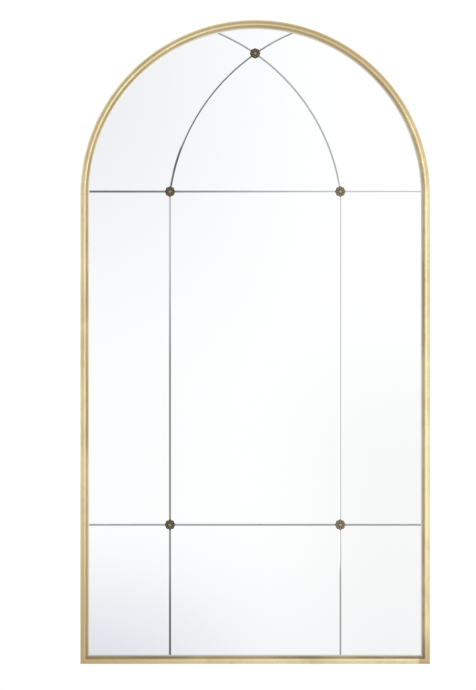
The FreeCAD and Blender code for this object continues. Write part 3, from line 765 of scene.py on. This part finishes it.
def add_screws():
    """Pan-head screws with a cross recess in both straps."""
    low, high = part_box("hanger_screws")
    for side in ("left", "right"):
        strap_low, strap_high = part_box("hanger_strap_" + side)
        across = halfway(strap_low.x, strap_high.x)
        head_radius = min(abs(low.x - across), abs(high.x - across))
        for rank, up in (("upper", high.z - head_radius), ("lower", low.z + head_radius)):
            builder = bmesh.new()
            seat = Vector((across, high.y - SCREW_HEAD_HEIGHT, up))
            relief(
                builder, Vector((0, 0, 0)), lambda angle: head_radius, head_height(head_radius),
                HEAD_RINGS, HEAD_SPOKES)
            turn = Matrix.Translation(seat) @ Matrix.Rotation(math.pi, 4, "Z")
            bmesh.ops.transform(builder, matrix=turn, verts=builder.verts)
            length = seat.y - low.y
            middle = Matrix.Translation(seat - Vector((0, length / 2, 0)))
            bmesh.ops.create_cone(
                builder, cap_ends=True, segments=SCREW_SIDES, radius1=SCREW_RADIUS, radius2=SCREW_RADIUS,
                depth=length, matrix=middle @ Matrix.Rotation(math.pi / 2, 4, "X"))
            name = "screw_%s_%s" % (side, rank)
            finish_piece(name, built_mesh(name, builder), "mirror", "zinc_steel", "hanger_screws")


# The studio
def add_floor():
    """A round pale floor that fades into the white round it."""
    mesh = bpy.data.meshes.new("floor")
    builder = bmesh.new()
    bmesh.ops.create_circle(builder, cap_ends=True, segments=FLOOR_SIDES, radius=FLOOR_RADIUS)
    builder.to_mesh(mesh)
    builder.free()
    material, tree, shader, place, _ = new_material("pale_floor")
    across, along, _ = split(tree, place)
    radius = math_node(tree, "SQRT", math_node(tree, "ADD", squared(tree, across), squared(tree, along)))
    connect(
        tree, shader,
        Base_Color=blend_colours(tree, noise(tree, place, 3, 3), *map(grey, FLOOR_TONES)),
        Roughness=0.9,
        Alpha=ramp_between(tree, radius, FLOOR_SOLID_RADIUS, FLOOR_RADIUS, 1.0, 0.0),
    )
    mesh.materials.append(material)
    floor = bpy.data.objects.new("floor", mesh)
    floor.location = (0, halfway(FRAME_FRONT, 0), BOTTOM - FLOOR_DROP)
    bpy.context.scene.collection.objects.link(floor)


WINDOW_WHITE = 1.03
BACK_WHITE = 1.02
COOL_SHADE = (1.12, 1.0, 0.80)
NEUTRAL_SHADE = (1.0, 1.0, 1.0)

# Directions in which the panes' bevels look, as bounds on a part of a unit vector and their softness
UPPER_SEAM_ACROSS = (-0.10, 0.10, 0.03)
OVER_UPPER_SEAM = (0.70, 0.78, 0.03)
UNDER_UPPER_SEAM = (-0.68, -0.60, 0.03)
ABREAST = (-0.16, 0.10, 0.03)
LEFT_SEAM_TO_RIGHT = (0.63, 0.685, 0.02)
LEFT_SEAM_TO_LEFT = (-0.75, -0.695, 0.02)
RIGHT_SEAM_TO_LEFT = (-0.67, -0.652, 0.008)
FLAG_ACROSS = (-0.78, -0.36, 0.06)
FLAG_INTO = (-0.78, -0.61, 0.03)
FLAG_UP = (0.075, 0.70, 0.02)
FLAG_LEVEL = 0.22


def scaled(tree, vector, amount):
    """A vector times a number."""
    node = add(tree, "VectorMath", {0: vector, "Scale": amount}, operation="SCALE")
    return node.outputs[0]


def window_shade(tree, across, up):
    """What dims the window that the panes reflect: cool on the left, and neutral low on the right."""
    left = ramp_between(tree, across, 0.05, -0.07)
    right = ramp_between(tree, across, 0.0, 0.06)
    low = ramp_between(tree, up, -0.065, -0.15)
    high = ramp_between(tree, up, -0.02, 0.10)
    by_low = product(tree, low, math_node(tree, "MULTIPLY_ADD", left, 0.25, 0.045))
    by_left = product(tree, left, math_node(tree, "MULTIPLY_ADD", high, 0.11, 0.03))
    by_right = product(tree, right, ramp_between(tree, up, 0.02, -0.05, 0.0, 0.07))
    cool = scaled(tree, COOL_SHADE, math_node(tree, "ADD", by_low, by_left))
    neutral = scaled(tree, NEUTRAL_SHADE, by_right)
    return add(tree, "VectorMath", {0: cool, 1: neutral}, operation="ADD").outputs[0]


def within(tree, value, low, high, soft):
    """1 where a value lies between two bounds, fading to 0 outside them."""
    rising = ramp_between(tree, value, low - soft, low)
    falling = ramp_between(tree, value, high, high + soft, 1.0, 0.0)
    return product(tree, rising, falling)


def bevel_lights(tree, across, into, up):
    """Light banks and a dark flag that the panes' bevels reflect, each as its share and its level."""
    flag = product(
        tree,
        within(tree, across, *FLAG_ACROSS),
        within(tree, up, *FLAG_UP),
        within(tree, into, *FLAG_INTO),
    )

    over, under = within(tree, up, *OVER_UPPER_SEAM), within(tree, up, *UNDER_UPPER_SEAM)
    over_or_under = math_node(tree, "MAXIMUM", over, under)
    upper_seam = product(tree, within(tree, across, *UPPER_SEAM_ACROSS), over_or_under)
    brighter_right = ramp_between(tree, across, -0.06, 0.06, 0.30, 1.22)

    abreast = within(tree, up, *ABREAST)
    to_right, to_left = within(tree, across, *LEFT_SEAM_TO_RIGHT), within(tree, across, *LEFT_SEAM_TO_LEFT)
    either_side = math_node(tree, "MAXIMUM", to_right, to_left)
    left_seam = product(tree, abreast, either_side)
    half_down = ramp_between(tree, up, 0.04, -0.01, 0.93, 0.50)
    at_foot = ramp_between(tree, up, -0.085, -0.108, 0.0, 0.28)

    right_seam = product(tree, abreast, within(tree, across, *RIGHT_SEAM_TO_LEFT))
    dim_foot = ramp_between(tree, up, -0.078, -0.098, 1.08, 0.55)
    return (
        (flag, FLAG_LEVEL),
        (upper_seam, brighter_right),
        (left_seam, math_node(tree, "SUBTRACT", half_down, at_foot)),
        (right_seam, dim_foot),
    )


def make_world():
    """A white studio, dimmer in front and dimmest high up there, which the camera sees as plain white."""
    world = bpy.data.worlds.new("white_studio")
    world.use_nodes = True
    bpy.context.scene.world = world
    tree = world.node_tree
    across, into, up = split(tree, add(tree, "TexCoord").outputs["Generated"])
    front = ramp_between(tree, into, 0.25, -0.5)
    overhead = ramp_between(tree, up, 0.1, 0.6, 0.80, 0.56)
    underneath = ramp_between(tree, up, -0.1, -0.4, 0.0, 0.12)
    rightward = ramp_between(tree, across, 0.2, 0.6, 0.0, 0.2)
    dim = math_node(tree, "ADD", math_node(tree, "ADD", overhead, underneath), rightward)
    behind = math_node(tree, "ADD", BACK_WHITE, ramp_between(tree, up, 0.2, 0.7, 0.0, 0.25))
    level = blend_levels(tree, front, behind, dim)
    for share, tone in bevel_lights(tree, across, into, up):
        level = blend_levels(tree, share, level, tone)
    studio = add(tree, "CombineXYZ", {"X": level, "Y": level, "Z": level}).outputs[0]

    shade = {0: (WINDOW_WHITE,) * 3, 1: window_shade(tree, across, up)}
    shaded = add(tree, "VectorMath", shade, operation="SUBTRACT").outputs[0]
    in_window = ramp_between(tree, into, -0.93, -0.985)
    lit = blend_colours(tree, in_window, studio, shaded)
    seen = add(tree, "LightPath").outputs["Is Camera Ray"]
    colour = blend_colours(tree, seen, lit, grey(BACK_WHITE))
    tree.links.new(colour, tree.nodes["Background"].inputs["Color"])


def add_softbox(name, place, target, width, height, power):
    """A soft area light that faces a point."""
    light = bpy.data.lights.new(name, "AREA")
    light.shape = "RECTANGLE"
    light.size = width
    light.size_y = height
    light.energy = power
    lamp = bpy.data.objects.new(name, light)
    lamp.location = place
    lamp.rotation_euler = (Vector(target) - Vector(place)).to_track_quat("-Z", "Y").to_euler()
    bpy.context.scene.collection.objects.link(lamp)


def add_camera():
    """A long lens, straight on, with the mirror where the photograph has it."""
    camera = bpy.data.cameras.new("camera")
    camera.sensor_width = SENSOR
    camera.lens = SENSOR * CAMERA_DISTANCE / (PHOTO_HEIGHT * METRES_PER_PIXEL)
    across = (PHOTO_WIDTH / 2 - PHOTO_CENTRELINE) * METRES_PER_PIXEL
    up = BOTTOM + (PHOTO_BOTTOM - PHOTO_HEIGHT / 2) * METRES_PER_PIXEL
    holder = bpy.data.objects.new("camera", camera)
    holder.location = (across, FRAME_FRONT - CAMERA_DISTANCE, up)
    holder.rotation_euler = (math.pi / 2, 0, 0)
    bpy.context.scene.collection.objects.link(holder)
    bpy.context.scene.camera = holder


dress_nodes()
soften(["hanger_strap_left", "hanger_strap_right"], STRAP_EASE)
soften(["wall_bumpers"], BUMPER_EASE)
add_moulding()
add_rosettes()
add_rings()
add_screws()
add_floor()
make_world()
add_softbox(
    "key", place=(1.0, -3.5, -0.2), target=(0.45, 0, -0.2),
    width=0.35, height=2.0, power=11)
add_softbox(
    "side_card", place=(1.5, -1.35, -0.62), target=(0.24, 0, -0.62),
    width=0.34, height=1.34, power=0.85)
add_camera()
bpy.context.scene.view_settings.view_transform = "Standard"
